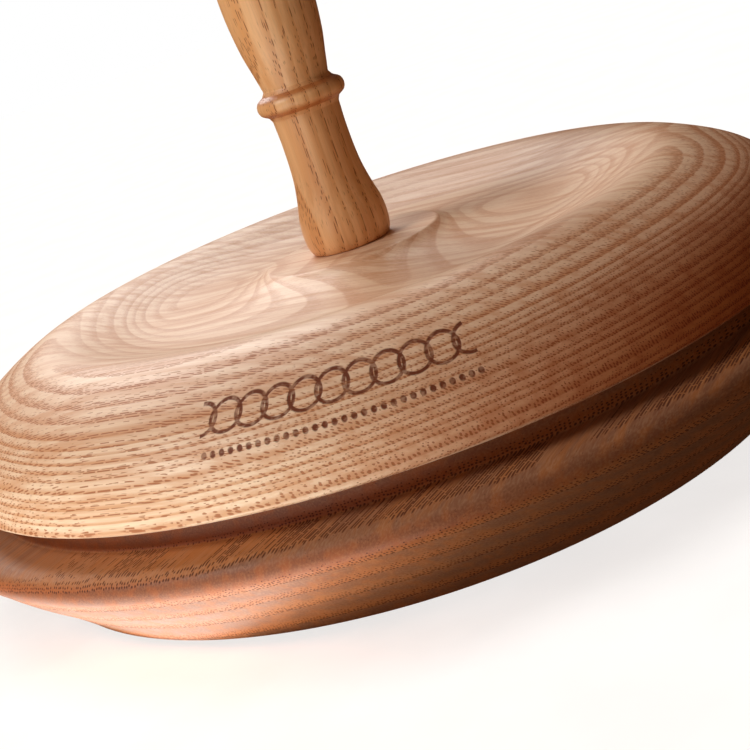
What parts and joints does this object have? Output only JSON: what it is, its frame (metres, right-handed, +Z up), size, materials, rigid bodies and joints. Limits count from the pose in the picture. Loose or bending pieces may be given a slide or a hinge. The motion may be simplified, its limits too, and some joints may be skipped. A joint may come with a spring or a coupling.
{
  "type": "yarn swift",
  "caption": "Tabletop yarn swift: a turned wooden base with a dished rotating upper disc carries a spindle, crossed folding arms with peg holes, lift-out pegs and a clamp knob.",
  "frame": {"origin": "centre of the spindle's axis at the level of the feet's undersides", "axes": "+Z up along the spindle, +X along the lower arm, +Y along the upper arm towards the back"},
  "size_m": [0.66, 0.66, 0.3861],
  "materials": {
    "light_ash": "satin lacquer over pale ash",
    "dark_ash": "satin lacquer over darker, pinkish-brown ash",
    "golden_oak": "satin varnish",
    "zinc_steel": "zinc plated",
    "ball_steel": "polished",
    "brass": "turned, lightly aged",
    "pad_rubber": "matt",
    "nylon": "natural, matt"
  },
  "bodies": {
    "base": {"lower_disc": "dark_ash", "foot_pad_1": "pad_rubber", "foot_pad_2": "pad_rubber", "foot_pad_3": "pad_rubber", "foot_pad_4": "pad_rubber", "lower_race": "zinc_steel", "lower_race_screw_1": "zinc_steel", "lower_race_screw_2": "zinc_steel", "lower_race_screw_3": "zinc_steel", "lower_race_screw_4": "zinc_steel"},
    "ball_ring": {"ball_cage": "ball_steel"},
    "turntable": {"upper_disc": "light_ash", "upper_race": "zinc_steel", "upper_race_screw_1": "zinc_steel", "upper_race_screw_2": "zinc_steel", "upper_race_screw_3": "zinc_steel", "upper_race_screw_4": "zinc_steel", "spindle": "golden_oak", "spindle_screw": "zinc_steel", "spindle_washer": "zinc_steel", "threaded_stud": "zinc_steel", "lower_arm": "light_ash", "arm_spacer": "nylon"},
    "cross_arm": {"upper_arm": "light_ash"},
    "clamp": {"clamp_washer": "brass"},
    "knob": {"knob": "golden_oak", "knob_insert": "brass"},
    "right_peg": {"peg_right": "golden_oak"},
    "left_peg": {"peg_left": "golden_oak"},
    "back_peg": {"peg_back": "golden_oak"},
    "front_peg": {"peg_front": "golden_oak"}
  },
  "joints": [
    {"name": "turntable_spin", "type": "hinge", "parent": "base", "child": "turntable", "pos_m": [0, 0, 0.0316], "axis": [0, 0, 1], "continuous": true},
    {"name": "ball_ring_spin", "type": "hinge", "parent": "base", "child": "ball_ring", "pos_m": [0, 0, 0.0316], "axis": [0, 0, 1], "continuous": true},
    {"name": "arm_fold", "type": "hinge", "parent": "turntable", "child": "cross_arm", "pos_m": [0, 0, 0.25], "axis": [0, 0, 1], "range_deg": [-78, 78]},
    {"name": "knob_rise", "type": "slide", "parent": "turntable", "child": "clamp", "axis": [0, 0, 1], "range_m": [0, 0.00375]},
    {"name": "knob_turn", "type": "hinge", "parent": "clamp", "child": "knob", "pos_m": [0, 0, 0.27], "axis": [0, 0, 1], "range_deg": [0, 1081]},
    {"name": "peg_right_lift", "type": "slide", "parent": "turntable", "child": "right_peg", "axis": [0, 0, 1], "range_m": [0, 0.03]},
    {"name": "peg_left_lift", "type": "slide", "parent": "turntable", "child": "left_peg", "axis": [0, 0, 1], "range_m": [0, 0.03]},
    {"name": "peg_back_lift", "type": "slide", "parent": "cross_arm", "child": "back_peg", "axis": [0, 0, 1], "range_m": [0, 0.03]},
    {"name": "peg_front_lift", "type": "slide", "parent": "cross_arm", "child": "front_peg", "axis": [0, 0, 1], "range_m": [0, 0.03]}
  ],
  "couplings": [
    {"joint": "ball_ring_spin", "follows": "turntable_spin", "ratio": 0.5},
    {"joint": "knob_turn", "follows": "knob_rise", "rad_per_m": 5026.5}
  ]
}
